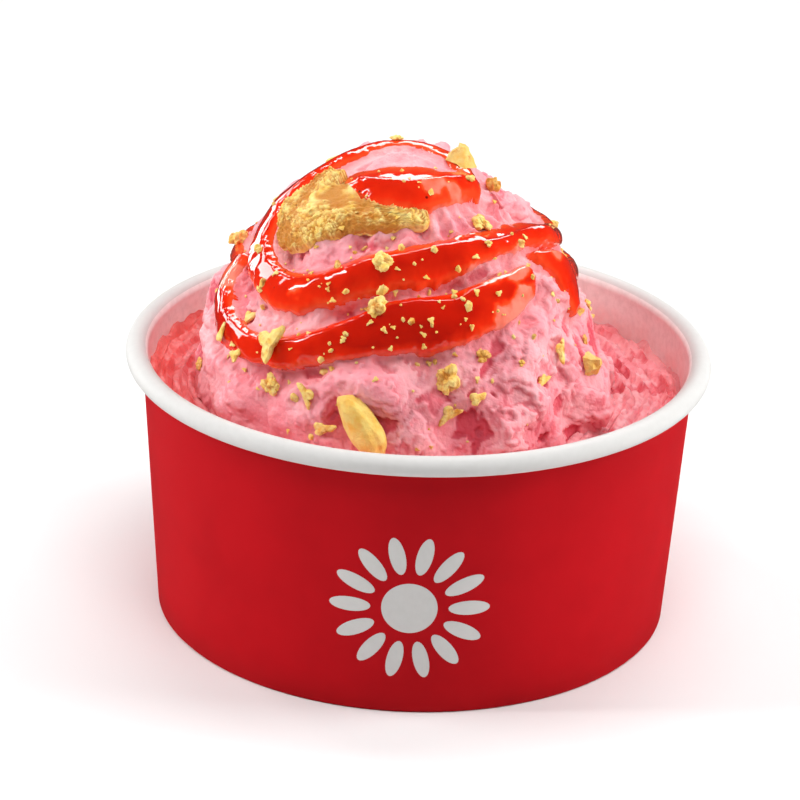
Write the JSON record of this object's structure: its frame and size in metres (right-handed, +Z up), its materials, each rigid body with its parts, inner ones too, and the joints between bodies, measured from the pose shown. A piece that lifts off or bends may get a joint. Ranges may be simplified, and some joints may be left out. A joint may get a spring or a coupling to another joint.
{
  "type": "gelato cup",
  "caption": "Round paper cup filled with gelato that rises in a mound wound with sauce ribbons and strewn with biscuit crumbs.",
  "frame": {"origin": "centre of the cup's foot, on the surface that it stands on", "axes": "+Z up along the cup's axis, -Y towards the viewer of the picture, +X to the viewer's right"},
  "size_m": [0.096, 0.096, 0.08],
  "materials": {
    "printed_paper": "coated paper board, printed red outside, white at the rim and inside",
    "white_paper": "white coated paper board",
    "gelato": "pink fruit gelato, soft and slightly moist",
    "sauce": "glossy red fruit sauce",
    "biscuit": "dry golden biscuit"
  },
  "bodies": {
    "root": {"cup_wall": "printed_paper", "cup_base": "white_paper", "gelato_bed": "gelato", "gelato_mound": "gelato", "biscuit_shard": "biscuit", "biscuit_finger": "biscuit"}
  },
  "joints": []
}
